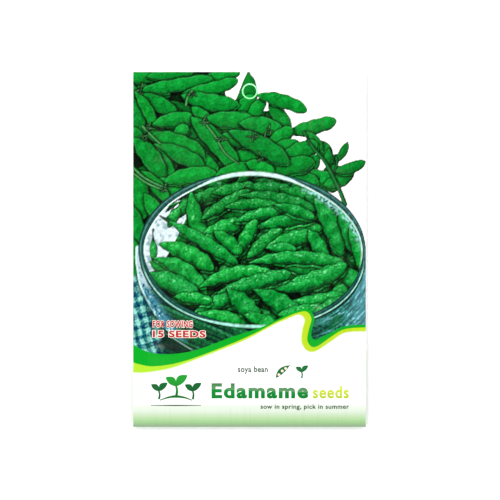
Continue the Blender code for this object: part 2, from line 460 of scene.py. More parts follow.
# Stems: the points of the middle line, and the half width along it
leafStems = [
    (((21.6, 46.4), (24.8, 40.8), (29.8, 34.6), (34.4, 26.2), (37.8, 18.0)), (0.5, 0.6, 0.8, 0.9, 0.95)),
    (((34.4, 36.2), (34.6, 34.0), (33.6, 31.0)), (0.5, 0.25, 0.3)),
    (((22.6, 44.0), (23.4, 41.4)), (0.25, 0.3)),
]
heapStems = [
    (((-25.2, 57.4), (-24.6, 60.4), (-23.2, 62.4)), (0.55, 0.5, 0.7)),
    (((-18.0, 51.0), (-16.4, 48.6), (-13.4, 44.6), (-9.8, 38.4), (-4.4, 33.8)), (0.7, 0.5, 0.5, 0.4, 0.3)),
    (((-46.4, 32.8), (-41.4, 28.4), (-34.0, 24.6)), (0.6, 0.55, 0.5)),
    (((-46.4, 30.6), (-40.6, 26.4), (-33.6, 23.4)), (0.5, 0.5, 0.5)),
    (((-42.0, 48.6), (-38.0, 44.4), (-35.4, 42.0)), (0.6, 0.5, 0.4)),
]
stemJoints = [
    (-43.4, 62.6), (-23.0, 61.0), (-17.4, 51.0), (-10.6, 43.6), (-41.6, 44.6), (-33.2, 24.6), (-27.6, 20.6),
    (-40.2, 48.6), (4.2, 36.2), (2.0, 44.6), (7.6, 46.6),
]
picture = {
    "heapGround": [
        (-47, 71), (-12, 71), (-9, 60), (-4, 54), (8, 55), (12, 46), (20, 41), (26, 28), (30, 22), (30, 10),
        (-47, -12),
    ],
    "rimCentre": np.array([1.0, -0.2]),
    "rimLean": 0.055,       # how far the rim's middle runs to the right for each mm below its centre
    "rimSize": np.array([45.0, 30.9]),
    "rimPower": 2.25,       # fuller than an oval below its middle
    "wall": [               # outside of the glass below the rim
        (-44.6, 6), (-45.2, -3), (-44.6, -8.5), (-43.9, -12.8), (-42.9, -15.8), (-41.7, -18.4),
        (-39.9, -21.9), (-37.8, -25.2), (-35.0, -29.0), (-31.0, -33.4), (-24, -37), (-14, -39), (2, -40),
        (24, -38), (42, -22), (47.4, 0),
    ],
    "paleGlass": [
        (-46, 8), (-38, 17), (-30, 21.5), (-25, 19), (-25, 12), (-29, 4), (-35, -7), (-41, -10), (-46, -4)
    ],
    "fillers": 90,
    "density": 0.77,        # of the inks over the whole picture
    "crisp": 1.1,           # how far edges are pushed apart, as for print
    "sampleShift": 0.09,    # from a grid point to each of the four places where its colour is worked out
}


def blankPicture(x, y):
    return {
        "x": x.ravel(), "y": y.ravel(),
        "rgb": np.ones((x.size, 3)),
        "edge": np.full(x.size, farOff),    # distance to the nearest outline
        "inked": np.zeros(x.size),
        "shaded": np.zeros(x.size, bool),   # where pods and stems throw shadows
    }


def podField(x, y, pod):
    # a pod laid straight: u runs -1 to 1 from its thin end to its stout one, its spine is a parabola, and its
    # half width is one falling power curve towards each end times a wave that swells at every bean
    c, s = math.cos(pod["turn"]), math.sin(pod["turn"])
    half = pod["length"] / 2
    u = ((x - pod["x"]) * c + (y - pod["y"]) * s) / half
    b = (y - pod["y"]) * c - (x - pod["x"]) * s - pod["bend"] * (0.55 - u * u)

    def halfWidth(u):
        thin = (1 - np.clip(-u, 0, 1) ** pod["taper"]) ** pod["sharp"]
        stout = (1 - np.clip(u, 0, 1) ** pod["blunt"]) ** 0.55
        return pod["width"] / 2 * thin * stout * (1 + pod["swell"] * np.cos(pod["wave"] * (u - 0.12)))

    w = halfWidth(u)
    slope = (halfWidth(u + 0.02) - w) / (0.02 * half)
    lean = 2 * pod["bend"] * u / half
    away = (np.abs(b) - w) / np.sqrt(1 + np.minimum(slope * slope, 4) + lean * lean)
    away = np.where(np.abs(u) < 1, away, np.hypot(b, (np.abs(u) - 1) * half))
    return away, u, np.clip(b / np.maximum(w, 1e-3), -1, 1)


def nearby(art, x, y, reach, clip):
    at = np.flatnonzero((np.abs(art["x"] - x) < reach) & (np.abs(art["y"] - y) < reach))
    return at if clip is None else at[clip[at]]


def darken(art, at, away, reach, strength):
    shade = strength * ridge(np.maximum(away, 0), 0, reach) * (away > 0)
    art["rgb"][at] *= (1 - shade)[:, None]


def outline(art, at, away):
    # what is stamped draws its outline on what lies round it
    outside = away > 0
    art["edge"][at[outside]] = np.minimum(art["edge"][at[outside]], away[outside])
    art["edge"][at[~outside]] = -away[~outside]
    art["inked"][at[~outside]] = 1
    art["shaded"][at[~outside]] = True
    return ~outside


def stampPod(art, row, look, draw, shade=1.0, clip=None):
    x, y, turn, length, width, bend, beans = row
    leaf = beans == 0
    pod = {
        "x": x, "y": y, "turn": math.radians(turn), "length": length, "width": width, "bend": bend,
        "swell": 0 if leaf else look["swell"], "wave": 2 * math.pi * max(beans, 1) / 1.5,
        "blunt": 1.8 if leaf else draw.uniform(3.0, 4.6), "taper": draw.uniform(*look["taper"]),
        "sharp": draw.uniform(*look["sharp"]),
    }
    tint, seed = draw.uniform(0.93, 1.07, 3), int(draw.integers(1, 9000))
    at = nearby(art, x, y, length / 2 + 4, clip)
    if not at.size:
        return
    x, y = art["x"][at], art["y"][at]
    away, u, q = podField(x, y, pod)
    thrown = podField(x - look["shadow"][0], y - look["shadow"][1], pod)[0]
    hit = art["shaded"][at]
    darken(art, at[hit], np.where(away > 0, thrown, -1)[hit], look["shadowReach"], look["shadowDepth"])
    # a narrow dark line round it, faint on the side away from its shadow
    darken(art, at[hit], away[hit], 0.34, (0.22 + 0.5 * soft(away - thrown, -0.3, 0.3))[hit])
    inside = outline(art, at, away)
    at, away, u, q, x, y = (v[inside] for v in (at, away, u, q, x, y))
    # the skin's lean, from its roundness across and the beans' humps along
    phase = pod["wave"] * (u - 0.12)
    along = look["hump"] * np.sin(phase) * (1 - q * q) + 0.5 * u ** 5
    across = look["round"] * q
    up = np.sqrt(np.clip(1 - across * across, 0.08, 1))
    c, s = math.cos(pod["turn"]), math.sin(pod["turn"])
    lean = np.stack([along * c - across * s, along * s + across * c, up], -1)
    lit = lean @ look["from"] / np.linalg.norm(lean, axis=-1)
    tone = lit + look["mottle"] * (grain(x, y, 1.7, seed) + 0.6 * grain(x, y, 0.8, seed + 1))
    rgb = mixed(look["deep"], look["mid"], soft(tone, *look["deepBand"]))
    rgb = mixed(rgb, look["light"], soft(tone, *look["lightBand"]) * (0.8 + 0.2 * np.cos(phase)))
    # pale edge on the side that faces the light, dark edge on the other
    facing = soft(q * (c * look["from"][1] - s * look["from"][0]), -0.35, 0.35)
    rim = ridge(away, -0.36, 0.2) * np.clip(0.45 + 0.6 * grain(x, y, 2.6, seed + 5), 0, 1)
    rgb = mixed(rgb, look["rim"], rim * look["rimShare"] * (0.35 + 0.65 * facing))
    rgb = rgb * (1 - look["line"] * ridge(away, 0, 0.22) * (1 - 0.6 * facing))[:, None]
    fine = grain(x, y, 0.55, seed + 2) + 0.7 * grain(x, y, 0.36, seed + 3)
    rgb = rgb * (1 + look["fine"] * fine)[:, None]
    if "glint" in look:
        # wet streaks that run along the pod
        streak = grain(u * length * 0.42 + seed, q * width * 0.9, 0.7, seed + 4) + 0.5 * fine
        rgb = mixed(rgb, look["glint"], soft(lit + 0.15 * streak, 0.99, 1.15))
    art["rgb"][at] = np.clip(rgb, 0, 1) * shade * tint


def stampRows(art, rows, look, draw, dimmest, brightest):
    # each row's pod in its own brightness
    for row in rows:
        stampPod(art, row, look, draw, draw.uniform(dimmest, brightest))


def throughPoints(points, steps):
    # smooth line through the points, as Catmull-Rom pieces
    p = np.asarray(points, float)
    p = np.vstack([2 * p[0] - p[1], p, 2 * p[-1] - p[-2]])
    t = np.linspace(0, 1, steps, endpoint=False)[:, None]
    runs = [
        b + ((c - a) * t + (2 * a - 5 * b + 4 * c - d) * t * t + (3 * b - a - 3 * c + d) * t ** 3) / 2
        for a, b, c, d in zip(p[:-3], p[1:-2], p[2:-1], p[3:])
    ]
    return np.vstack(runs + [p[-2:-1]])


def strokeLine(points, widths):
    # smooth line through the points, and a width at each of its places
    line = throughPoints(points, 6)
    return line, np.interp(np.linspace(0, 1, len(line)), np.linspace(0, 1, len(widths)), widths)


def lineField(x, y, line, widths):
    # distance outside a line of changing half width, and the side of it from -1 to 1
    best, side = np.full(x.shape, 99.0), np.zeros(x.shape)
    for i in range(len(line) - 1):
        dx, dy = line[i + 1] - line[i]
        t = np.clip(((x - line[i, 0]) * dx + (y - line[i, 1]) * dy) / (dx * dx + dy * dy + 1e-9), 0, 1)
        ox, oy = x - line[i, 0] - t * dx, y - line[i, 1] - t * dy
        w = widths[i] + (widths[i + 1] - widths[i]) * t
        away = np.hypot(ox, oy) - w
        nearer = away < best
        best[nearer] = away[nearer]
        side[nearer] = ((dx * oy - dy * ox) / math.hypot(dx, dy) / w)[nearer]
    return best, np.clip(side, -1, 1)


def stampStem(art, points, widths, colours, shade=1.0, clip=None):
    line, w = strokeLine(points, widths)
    centre = line.mean(0)
    at = nearby(art, centre[0], centre[1], np.abs(line - centre).max() + 3, clip)
    if not at.size:
        return
    x, y = art["x"][at], art["y"][at]
    away, side = lineField(x, y, line, w)
    hit = art["shaded"][at]
    darken(art, at[hit], away[hit], 0.35, 0.7)
    inside = outline(art, at, away)
    tone = soft(1 - np.abs(side + 0.25), 0.1, 0.9) + 0.25 * grain(x, y, 0.6, 3)
    art["rgb"][at[inside]] = (mixed(colours[0], colours[1], np.clip(tone, 0, 1)) * shade)[inside]


def outsideOf(x, y, corners):
    # distance outside a closed outline, negative inside: nearest side, and the sides that a ray crosses
    away, odd = np.full(x.shape, 1e9), np.zeros(x.shape, bool)
    corners = np.asarray(corners, float)
    for (x0, y0), (x1, y1) in zip(corners, np.roll(corners, -1, axis=0)):
        dx, dy = x1 - x0, y1 - y0
        t = np.clip(((x - x0) * dx + (y - y0) * dy) / (dx * dx + dy * dy + 1e-12), 0, 1)
        away = np.minimum(away, np.square(x - x0 - t * dx) + np.square(y - y0 - t * dy))
        if dy:
            odd ^= ((y0 > y) != (y1 > y)) & (x < x0 + (y - y0) * dx / dy)
    return np.where(odd, -1, 1) * np.sqrt(away)


def outsideOval(x, y, size, centre, power=2.0):
    # distance outside an oval, whose powers of x and y add up to one: its own field over that field's slope
    px, py = np.abs(x - centre[0]) / size[0] + 1e-6, np.abs(y - centre[1]) / size[1] + 1e-6
    f = (px ** power + py ** power) ** (1 / power)
    slope = f ** (1 - power) * np.hypot(px ** (power - 1) / size[0], py ** (power - 1) / size[1])
    return (f - 1) / slope


def wash(art, rgb, share):
    # turn what was painted into a colour by share
    art["rgb"] = mixed(art["rgb"], rgb, share)


def lay(art, where, rgb, shaded=True):
    # paint over all that was there, with one colour or with a colour for each point
    art["rgb"][where] = np.broadcast_to(np.clip(rgb, 0, 1), art["rgb"].shape)[where]
    art["inked"][where] = 1
    art["shaded"][where] = shaded
    art["edge"][where] = farOff


def paintHeap(art, draw):
    x, y = art["x"], art["y"]
    ground = outsideOf(x, y, picture["heapGround"]) < 0
    lay(art, ground, linear(2, 20, 6))
    for depth in ((0.05, 0.28), (0.30, 0.70)):
        for _ in range(picture["fillers"]):
            row = (
                draw.uniform(-46, 28), draw.uniform(-8, 70), draw.uniform(-80, 40), draw.uniform(10, 18),
                draw.uniform(4, 6), draw.uniform(-0.5, 1), 3
            )
            stampPod(art, row, heapLook, draw, draw.uniform(*depth), ground)
    stampRows(art, leaves[:3], heapLook, draw, 0.72, 0.86)
    tip = ((-0.4, 70.8), (-0.3, 68.6), (-0.1, 66.0), (-0.4, 62.0), (-1.6, 57.5), (-3.6, 54.0))
    stampStem(art, tip, (0.15, 1.1, 2.5, 3.7, 4.3, 2.4), ((2, 118, 36), (8, 142, 44)))
    stampRows(art, heapPods, heapLook, draw, 0.88, 1.06)
    stampRows(art, leaves[3:], heapLook, draw, 0.72, 0.86)
    for points, widths in leafStems:
        stampStem(art, points, widths, ((0, 66, 22), (30, 128, 56)))
    for points, widths in heapStems:
        stampStem(art, points, widths, ((8, 84, 34), (84, 172, 96)))
    for centre in stemJoints:
        for _ in range(6):
            start = np.array(centre) + draw.normal(0, 0.85, 2)
            turn, reach = draw.uniform(0, 6.28), draw.uniform(0.6, 2.0)
            end = start + reach * np.array([math.cos(turn), math.sin(turn)])
            stampStem(art, (start, end), (0.36, 0.14), ((6, 70, 28), (90, 176, 98)), draw.uniform(0.35, 0.8))


def paintCloth(art):
    x, y = art["x"], art["y"]
    cloth = (x < 42) & (y < -10 - 0.12 * (x + 46))
    # checks: two waves across each other, each with the streaks of its own threads
    u, v = 0.97 * x + 0.24 * y + 0.5 * grain(x, y, 9, 7), 0.96 * y - 0.28 * x + 0.5 * grain(x, y, 9, 8)
    warp = soft(np.sin(1.86 * u) + 0.7 * grain(u * 2.2, v * 0.5, 1, 9), -0.6, 0.6)
    weft = soft(np.sin(1.56 * v) + 0.7 * grain(u * 0.5, v * 2.2, 1, 13), -0.6, 0.6)
    check = warp + weft + 0.65 * grain(x, y, 0.45, 19) + 0.12
    ink = mixed((4, 54, 96), (36, 134, 138), np.clip(check, 0, 1))
    ink = mixed(ink, (148, 222, 208), np.clip(check - 1, 0, 1))
    ink = mixed(ink, (24, 118, 84), soft(grain(x, y, 3.2, 18), 0.1, 0.9) * 0.5)
    # the bowl's foot: a dark hollow, a pale line, and behind it streaks of light that run down to the right
    dim = soft(x + 0.3 * y + 2.4 * grain(x, y, 4, 10), -50, -43.5)
    behind = (x + 29.6) * 0.53 + (y + 35.3) * 0.85
    streak = grain(x * 0.22 + y * 0.5, (x * 0.42 + y) * 1.1, 0.8, 12) + 0.5 * grain(x, y, 0.6, 14)
    under = mixed((2, 40, 24), (16, 112, 54), soft(streak, -0.6, 0.9))
    under = mixed(under, (70, 160, 124), soft(streak, 0.7, 1.3) * 0.7)
    hollow = mixed((0, 26, 14), (8, 70, 44), soft(streak, -0.2, 1.2))
    under = mixed(hollow, under, soft(behind, -0.1, 0.9))
    line = ridge(behind, 0, 0.22) * soft(x, -34, -30) * (1 - soft(x, -24, -21))
    under = mixed(under, (150, 206, 190), line * 0.8)
    lay(art, cloth, mixed(ink * (1 - 0.3 * dim[:, None]), under, dim * 0.97))


def rimField(x, y):
    # distance outside the bowl's rim; an oval above its middle and a fuller one below, leaning a little
    centre, size = picture["rimCentre"], picture["rimSize"]
    level = x - picture["rimLean"] * np.maximum(centre[1] - y, 0)
    above = outsideOval(level, y, size, centre)
    below = outsideOval(level, y, size, centre, picture["rimPower"])
    return np.where(y > centre[1], above, below)


def paintGlass(art):
    # the wall below the rim: frosted at the left, dark in the middle, streaked blue green at the right
    x, y = art["x"], art["y"]
    outside = outsideOf(x, y, throughPoints(picture["wall"], 5))
    wall = ((outside < 0) | (x > 16)) & (y < 1.5)
    around = rimField(x, y)
    curl = grain(around * 1.5 + 0.12 * y, (x + y) * 0.16, 0.7, 11) + 0.45 * grain(x, y, 0.6, 15)
    clear = mixed((2, 66, 50), (62, 156, 146), soft(curl, -0.8, 0.5))
    clear = mixed(clear, (150, 214, 232), soft(curl, 0.3, 1.0) * soft(x, 22, 40))
    clear = mixed(clear, (112, 178, 196), soft(x, 36, 44) * 0.4)
    green = soft(grain(x, y, 4.5, 37), 0.1, 0.6) * (1 - soft(x, 34, 42))
    clear = mixed(clear, (10, 112, 56), green * 0.7)
    u, v = 0.56 * x - 0.83 * y, 0.83 * x + 0.56 * y
    speck = 0.8 * grain(u * 0.4, v * 1.3, 0.8, 16) + 0.7 * grain(x, y, 0.55, 17)
    frosted = mixed((180, 208, 216), (74, 152, 176), soft(-y + 4 * speck, 10, 19))
    frosted = mixed(frosted, (14, 84, 96), soft(speck, 0.05, 0.9) * soft(-y, 2, 16))
    frosted = mixed(frosted, (190, 238, 242), soft(-speck, 0.3, 0.9) * soft(-y, 10, 20))
    glass = mixed(art["rgb"], clear, soft(x + 0.3 * y, 10, 26))
    band = np.maximum(soft(-x - 0.667 * y + 1.2 * speck, 47.5, 52.0), soft(y + 2 * speck, -19, -14))
    glass = mixed(glass, frosted, band * (x < -24) * 0.92)
    beside = np.flatnonzero(~wall & (y < -4) & (x < -30))
    darken(art, beside, outside[beside], 0.9, 0.4)
    lay(art, wall, glass)
    edge = ridge(outside, -0.35, 0.3) * (x < -20) * wall
    wash(art, (206, 240, 232), edge * 0.8 * soft(y, -32, -12))


def paintRim(art):
    # thick glass seen from above: a dark blue-green band between two edges, with a bright line in it that
    # fills the band at the top and the foot and runs along its inner edge at the sides
    x, y = art["x"], art["y"]
    centre, size = picture["rimCentre"], picture["rimSize"]
    deep = -rimField(x, y)
    c, s = (x - centre[0]) / size[0], (y - centre[1]) / size[1]
    reach = np.hypot(c, s) + 1e-6
    c, s = c / reach, s / reach
    width = 1.45 + np.where(s < 0, 1.5, 0.95) * np.abs(2 * c * s) ** 1.5 + 0.7 * soft(-c, 0.75, 0.98)
    q = deep / width
    wander = grain(x, y, 1.1, 34)
    band = mixed((4, 62, 50), (96, 164, 158), ridge(q, 0.38, 0.15) * (0.6 + 0.3 * wander))
    band = mixed(band, (60, 128, 122), ridge(q, 0.75, 0.12) * (0.5 + 0.3 * wander))
    inBand = soft(deep, -0.14, 0.14) * (1 - soft(deep, width - 0.14, width + 0.14))
    wash(art, band, inBand)
    ends = 1 - soft(np.abs(c), 0.12, 0.6)
    glow = np.clip(0.85 + 0.25 * wander, 0, 1)
    upperWidth = 0.26 + 0.5 * ends + 0.1 * soft(s, 0.6, 1)
    upper = np.exp(-((deep - width * (1.08 - 0.55 * ends)) / upperWidth) ** 4)
    lower = np.exp(-((deep - width * (0.34 + 0.22 * ends)) / (0.22 + 0.44 * ends)) ** 4)
    wash(art, (220, 255, 246), upper * glow * soft(s, -0.3, 0.05))
    wash(art, (172, 246, 220), lower * glow * soft(-s, 0.12, 0.35))
    # ragged gleam inside the rim, upper right
    ragged = deep - width - 1.2 - 0.8 * grain(x, y, 1.6, 35)
    gleam = ridge(ragged, 0, 0.95) * soft(c, 0.42, 0.6) * soft(s, -0.05, 0.25)
    gleam = gleam * np.clip(0.65 + 0.8 * grain(x, y, 0.6, 36), 0, 1)
    wash(art, (160, 226, 220), gleam)
    covered = inBand > 0.5
    art["inked"][covered], art["edge"][covered] = 1, farOff


def paintBowl(art, draw):
    x, y = art["x"], art["y"]
    paintGlass(art)
    away = rimField(x, y) + 1.2
    inside = away < 0
    lay(art, inside, linear(1, 26, 10))
    for depth in ((0.2, 0.5), (0.5, 0.85)):
        for _ in range(picture["fillers"]):
            turn, reach = draw.uniform(0, 6.28), math.sqrt(draw.uniform(0, 1))
            row = (
                1.8 + 44 * reach * math.cos(turn), 29.5 * reach * math.sin(turn), draw.uniform(-60, 60),
                draw.uniform(10, 18), draw.uniform(3.8, 5.4), draw.uniform(-0.5, 1), 3
            )
            stampPod(art, row, bowlLook, draw, draw.uniform(*depth), inside)
    pale = inside & (outsideOf(x, y, picture["paleGlass"]) < 0)
    mist = grain(x, y, 1.2, 31) + 0.4 * grain(x, y, 0.6, 38)
    glaze = mixed((150, 178, 184), (212, 226, 228), soft(mist, -0.9, 0.4))
    lay(art, pale, glaze, False)
    for _ in range(26):
        row = (
            draw.uniform(-31, -23), draw.uniform(13, 21), draw.uniform(10, 60), draw.uniform(3, 7),
            draw.uniform(0.7, 1.6), 0.1, 2
        )
        stampPod(art, row, bowlLook, draw, draw.uniform(0.4, 0.9), inside)
    for row in bowlPods:
        back = 0.74 + 0.26 * soft(-row[1], -22, -8)
        stampPod(art, row, bowlLook, draw, draw.uniform(0.9, 1.1) * back, inside)
    stalk = ((0, 40, 14), (20, 90, 40))
    stampStem(art, ((-37.8, 3.6), (-38.2, 6.0), (-38.0, 8.0)), (0.4, 0.3, 0.4), stalk, 1, inside)
    stampStem(art, ((-32.4, 11.6), (-34.6, 12.8), (-36.6, 14.4)), (0.8, 0.4, 0.25), stalk, 1, inside)
    paintRim(art)


def paintPicture(x, y):
    art = blankPicture(x, y)
    draw = np.random.default_rng(4)
    paintHeap(art, draw)
    paintCloth(art)
    paintBowl(art, draw)
    return art


def crispPrint(rgb, shape):
    # each point is pushed away from the mean of itself and the eight round it, and all but the pale inks get
    # the inks' density
    sheet = np.pad(rgb.reshape(*shape, 3), [(1, 1), (1, 1), (0, 0)], mode="edge")
    blur = (sheet[:-2] + 2 * sheet[1:-1] + sheet[2:]) / 4
    blur = (blur[:, :-2] + 2 * blur[:, 1:-1] + blur[:, 2:]) / 4
    plain = sheet[1:-1, 1:-1]
    density = picture["density"] + (1 - picture["density"]) * soft(plain.min(-1), 0.1, 0.45)
    return np.clip((plain + picture["crisp"] * (plain - blur)) * density[..., None], 0.0004, 1).reshape(-1, 3)


# The wave between the picture and the white foot: three lines, each from the left edge to the right one.
waveLines = {
    "white": [
        (-48, -48.3), (-42.9, -48.7), (-37.4, -48.1), (-31.4, -46.9), (-24.3, -44.5), (-10.1, -39.0),
        (-1.6, -35.5), (4.4, -32.4), (10.3, -29.2), (13.4, -27.9), (16.4, -26.6), (19.6, -25.6),
        (21.8, -27.6), (20.9, -31.5), (20.6, -36.4), (22.6, -39.7), (26.2, -40.0), (32.6, -35.9),
        (38.0, -32.8), (48, -32.3),
    ],
    "lime": [
        (-48, -44.0), (-43.6, -45.4), (-38.6, -46.2), (-31.3, -45.4), (-25.3, -43.9), (-19.4, -41.9),
        (-10.1, -38.3), (-1.6, -34.7), (4.4, -31.8), (10.3, -28.6), (13.4, -27.2), (17.6, -25.3),
        (22.2, -24.4), (24.4, -27.2), (23.4, -31.5), (22.8, -35.8), (24.6, -38.4), (27.4, -37.8),
        (32.6, -34.2), (38.0, -31.4), (48, -30.7),
    ],
    "green": [
        (-48, -36.4), (-42.4, -39.6), (-38.4, -40.9), (-34.0, -41.3), (-28.7, -41.1), (-21.6, -39.8),
        (-13.4, -36.9), (-7.5, -34.6), (-1.6, -32.7), (4.4, -30.7), (10.3, -27.9), (17.0, -24.7),
        (22.6, -23.4), (25.6, -26.8), (24.6, -31.5), (24.4, -34.2), (25.6, -35.6), (27.6, -35.0),
        (32.6, -32.6), (38.0, -30.2), (48, -29.7),
    ],
}


def belowLine(x, y, points):
    # distance above a line that crosses the packet, negative below it
    line = throughPoints(points, 6)
    wellBelow = [(line[-1, 0], -90), (line[0, 0], -90)]
    return outsideOf(x, y, np.vstack([line, wellBelow]))


footPrint = {
    "white": linear(254, 255, 254),
    # green fade of the printed foot, from its lower edge up; the greyer lowest stops are painted shade along
    # that edge
    "fade": [
        (0.00, linear(134, 152, 128)), (0.06, linear(142, 170, 134)), (0.16, linear(150, 192, 134)),
        (0.28, linear(170, 205, 154)), (0.40, linear(190, 213, 176)), (0.54, linear(210, 222, 204)),
        (0.72, linear(222, 233, 217)), (1.00, linear(254, 255, 253)),
    ],
    "fadeHigh": 11.0,       # how far up from the lower edge the green fades out
}
printGloss = {"Specular IOR Level": 0.15, "Coat Weight": 0.12, "Coat Roughness": 0.08}
inkRoughness = 0.27


def filmBump(start, place, ribHeight):
    # a slow orange peel, and the seal bar's fine ribs on the seals only
    ribs = (place.part("Y") * (2 * math.pi / (film["ribPitch"] * mm))).wave()
    seal = attribute(start, "inset").step(0.0, -0.4)
    return bump(start, ribs * seal * ribHeight + place.noise(420.0, 2.0) * 0.5, 0.06 * mm)


def frontMaterial():
    material, start, feed = newMaterial("printed_gloss_film", printGloss)
    place = objectPlace(start)
    ink = attribute(start, "picture", "Color")
    # crisp dark crevices between the pods, and skin speckle finer than the painted points
    edge = attribute(start, "crevice")
    speckle = place.noise(2600.0, 3.0)
    ink = ink.tint(linear(0, 18, 6), edge.step(0.20, 0.0) * place.noise(330.0, 2.0).step(0.38, 0.64) * 0.5)
    ink = ink.tint(linear(120, 214, 130), speckle.step(0.60, 0.78) * 0.16)
    ink = ink.tint(linear(0, 40, 14), speckle.step(0.42, 0.26) * 0.22)
    # paper-white ground where nothing is printed
    ink = ink.tint(footPrint["white"], attribute(start, "inked").step(0.62, 0.38))
    # wave bands and the white foot with its green fade, whose greyer lowest stops are painted shade along the
    # lower edge
    ink = ink.tint(linear(10, 164, 36), attribute(start, "greenLine").step(0.08, -0.08))
    across = place.part("X").step(-30 * mm, 10 * mm)
    lime = start.blend(linear(174, 220, 48), linear(182, 212, 34), across)
    ink = ink.tint(lime, attribute(start, "limeLine").step(0.10, -0.10))
    height = (place.part("Y") + halfHigh * mm) / (footPrint["fadeHigh"] * mm)
    fade = start.make("ShaderNodeValToRGB", {"stops": footPrint["fade"]}, {0: height})
    ink = ink.tint(fade, attribute(start, "whiteLine").step(0.30, -0.60))
    # faint roll-to-roll streaks in the print
    streak = (place * (1, 0.03, 1)).noise(900.0, 2.0)
    ink = ink.tint((0, 0, 0), streak.step(0.45, 0.75) * 0.03)
    feed("Base Color", ink)
    feed("Roughness", place.noise(160.0, 2.0) * 0.10 + inkRoughness)
    feed("Normal", filmBump(start, place, 0.2))
    return material


print("stage: film shape")
rough = relaxedFilm()
acrossCount, lowCount, highCount = film["frontCells"]
fineX = np.linspace(-halfWide, halfWide, acrossCount + 1)
fineY = np.concatenate([
    np.linspace(-halfHigh, film["pictureFoot"], lowCount, endpoint=False),
    np.linspace(film["pictureFoot"], halfHigh, highCount + 1),
])
frontZ = frontTop(fineX, fineY, rough)
front = sheetShell("printed_front_film", fineX, fineY, frontZ, 1)

print("stage: painting the picture")
gridX, gridY = np.meshgrid(fineX, fineY, indexing="ij")
sides = (-picture["sampleShift"], picture["sampleShift"])
samples = [paintPicture(gridX + dx, gridY + dy) for dx in sides for dy in sides]
colour, crevice, inked = (sum(art[key] for art in samples) / len(samples) for key in ("rgb", "edge", "inked"))
rgb = crispPrint(colour, gridX.shape)
addAttribute(front, "picture", np.concatenate([rgb, np.ones((len(rgb), 1))], 1), 1, "FLOAT_COLOR")
addAttribute(front, "crevice", crevice, farOff)
addAttribute(front, "inked", inked, 0)
for name, points in waveLines.items():
    addAttribute(front, name + "Line", belowLine(gridX.ravel(), gridY.ravel(), points), farOff)
addAttribute(front, "inset", pouchInset(gridX, gridY).ravel(), farOff)
front.materials.append(frontMaterial())
addPiece("printed_front_film", front, "front_print", "front_film")


backPrint = {
    "gloss": {"Specular IOR Level": 0.35, "Coat Weight": 0.3, "Coat Roughness": 0.14},
    "footTop": -44.0,
    "lineTop": -42.6,       # of the lime line over the foot
    "softness": 0.3,
    "swell": 5.0,           # height and length of the wave in both
    "swellLength": 150.0,
}


def backMaterial():
    # plain white, with a pale green foot that ends in a wave and a lime line over it
    material, start, feed = newMaterial("printed_back_film", backPrint["gloss"])
    place = objectPlace(start)
    swell = (place.part("X") * (2 * math.pi / (backPrint["swellLength"] * mm)) + 0.6).wave()
    y = place.part("Y") - swell * (backPrint["swell"] * mm)
    ends = [(backPrint[key], backPrint[key] - backPrint["softness"]) for key in ("lineTop", "footTop")]
    lime, foot = (y.step(high * mm, low * mm) for high, low in ends)
    ink = start.blend(linear(246, 249, 243), linear(251, 252, 249), place.noise(300.0, 2.0))
    ink = ink.tint(linear(204, 226, 28), lime)
    ink = ink.tint(linear(150, 205, 138), foot)
    ink = ink.tint(linear(60, 140, 70), place.noise(2600.0, 3.0).step(0.5, 0.8) * foot * 0.15)
    feed("Base Color", ink)
    feed("Roughness", place.noise(160.0, 2.0) * 0.10 + 0.30)
    feed("Normal", filmBump(start, place, 0.3))
    return material


print("stage: back film")
backX, backY = (
    np.linspace(-half, half, count + 1) for half, count in zip((halfWide, halfHigh), film["backCells"])
)
back = sheetShell("printed_back_film", backX, backY, backBottom(backX, backY), -1)
addAttribute(back, "inset", pouchInset(*np.meshgrid(backX, backY, indexing="ij")).ravel(), farOff)
back.materials.append(backMaterial())
addPiece("printed_back_film", back, "back_print", "back_film")

# Words: the box is left, right, bottom and top in millimetres, and bold is how far the letters are thickened.
words = {
    "title": {"text": "Edamame", "box": (-15.0, 23.2, -58.9, -52.8), "bold": 0.042},
    "titleEnd": {"text": "seeds", "box": (25.0, 39.3, -58.9, -54.0), "bold": 0.026},
    "kind": {"text": "soya bean", "box": (-4.6, 7.2, -49.1, -46.0), "bold": 0.024},
    "motto": {"text": "sow in spring, pick in summer", "box": (4.4, 39.4, -63.6, -61.2), "bold": 0.020},
    "useLine": {"text": "FOR SOWING", "box": (-38.2, -22.4, -30.7, -28.1), "bold": 0.034},
    "countLine": {"text": "15 SEEDS", "box": (-38.2, -17.4, -34.7, -32.0), "bold": 0.034},
    "haloBold": 0.10,
    "spread": 4.0,          # extra room between letters for each unit of thickening
}
inkLift = {"gap": 0.016, "thickness": 0.018, "weld": 1e-4, "cutSlack": 1e-5}


def filmHeight(x, y):
    # height of the printed front at any place, straight between the points of its grid
    i = np.clip(np.searchsorted(fineX, x) - 1, 0, len(fineX) - 2)
    j = np.clip(np.searchsorted(fineY, y) - 1, 0, len(fineY) - 2)
    s = (x - fineX[i]) / (fineX[i + 1] - fineX[i])
    t = (y - fineY[j]) / (fineY[j + 1] - fineY[j])
    low = frontZ[i, j] * (1 - s) + frontZ[i + 1, j] * s
    high = frontZ[i, j + 1] * (1 - s) + frontZ[i + 1, j + 1] * s
    return low * (1 - t) + high * t


